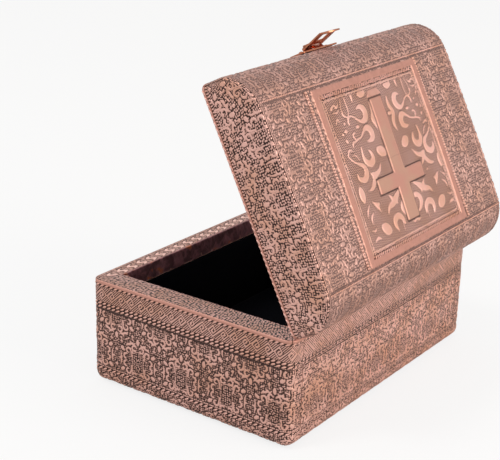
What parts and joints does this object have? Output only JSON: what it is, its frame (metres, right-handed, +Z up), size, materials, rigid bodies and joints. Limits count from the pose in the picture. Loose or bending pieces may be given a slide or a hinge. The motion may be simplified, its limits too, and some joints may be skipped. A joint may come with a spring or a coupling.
{
  "type": "keepsake box",
  "caption": "Wooden box faced with embossed copper-toned sheet, with a domed lid on butt hinges, a swinging hasp latch and a black velvet lining.",
  "frame": {"origin": "centre of the underside, on the surface that the box stands on", "axes": "+Z up; the front with the latch faces -Y; the hinges are at the back, +Y; X runs along the width"},
  "size_m": [0.1778, 0.1493, 0.1882],
  "materials": {
    "embossed_sheet": "embossed, copper-toned with dark patina in the recesses",
    "plain_sheet": "satin, copper-toned",
    "latch_metal": "polished, copper-toned",
    "hinge_metal": "satin",
    "wood": "bare",
    "velvet": "short black pile",
    "felt": "matt black"
  },
  "bodies": {
    "base": {"base_front_board": "wood", "base_back_board": "wood", "base_right_board": "wood", "base_left_board": "wood", "base_floor_board": "wood", "base_right_sheet": "embossed_sheet", "base_left_sheet": "embossed_sheet", "base_front_sheet": "embossed_sheet", "base_back_sheet": "embossed_sheet", "base_rim_front": "plain_sheet", "base_rim_back": "plain_sheet", "base_rim_left": "plain_sheet", "base_rim_right": "plain_sheet", "base_lining_front": "velvet", "base_lining_back": "velvet", "base_lining_left": "velvet", "base_lining_right": "velvet", "base_pad": "velvet", "base_felt": "felt", "hinge_left_base_leaf": "hinge_metal", "hinge_left_pin": "hinge_metal", "hinge_left_base_screw_outer": "hinge_metal", "hinge_left_base_screw_inner": "hinge_metal", "hinge_right_base_leaf": "hinge_metal", "hinge_right_pin": "hinge_metal", "hinge_right_base_screw_outer": "hinge_metal", "hinge_right_base_screw_inner": "hinge_metal", "latch_lower_plate": "latch_metal", "latch_lower_nail_left": "latch_metal", "latch_lower_nail_right": "latch_metal"},
    "lid": {"lid_right_board": "wood", "lid_left_board": "wood", "lid_front_rail": "wood", "lid_back_rail": "wood", "lid_top_panel": "wood", "lid_top_sheet": "embossed_sheet", "lid_right_sheet": "embossed_sheet", "lid_left_sheet": "embossed_sheet", "lid_rim_front": "plain_sheet", "lid_rim_back": "plain_sheet", "lid_rim_left": "plain_sheet", "lid_rim_right": "plain_sheet", "lid_lining_front": "velvet", "lid_lining_back": "velvet", "lid_lining_left": "velvet", "lid_lining_right": "velvet", "lid_lining_top": "velvet", "hinge_left_lid_leaf": "hinge_metal", "hinge_left_lid_screw_outer": "hinge_metal", "hinge_left_lid_screw_inner": "hinge_metal", "hinge_right_lid_leaf": "hinge_metal", "hinge_right_lid_screw_outer": "hinge_metal", "hinge_right_lid_screw_inner": "hinge_metal", "latch_upper_plate": "latch_metal", "latch_upper_nail_left": "latch_metal", "latch_upper_nail_right": "latch_metal"},
    "hasp": {"latch_hasp": "latch_metal"}
  },
  "joints": [
    {"name": "lid_hinge", "type": "hinge", "parent": "base", "child": "lid", "pos_m": [0, 0.06305, 0.0592], "axis": [-1, 0, 0], "range_deg": [-63, 37]},
    {"name": "hasp_swing", "type": "hinge", "parent": "lid", "child": "hasp", "pos_m": [0, 0.00941, 0.17682], "axis": [-1, 0, 0], "range_deg": [-162, 0]}
  ]
}
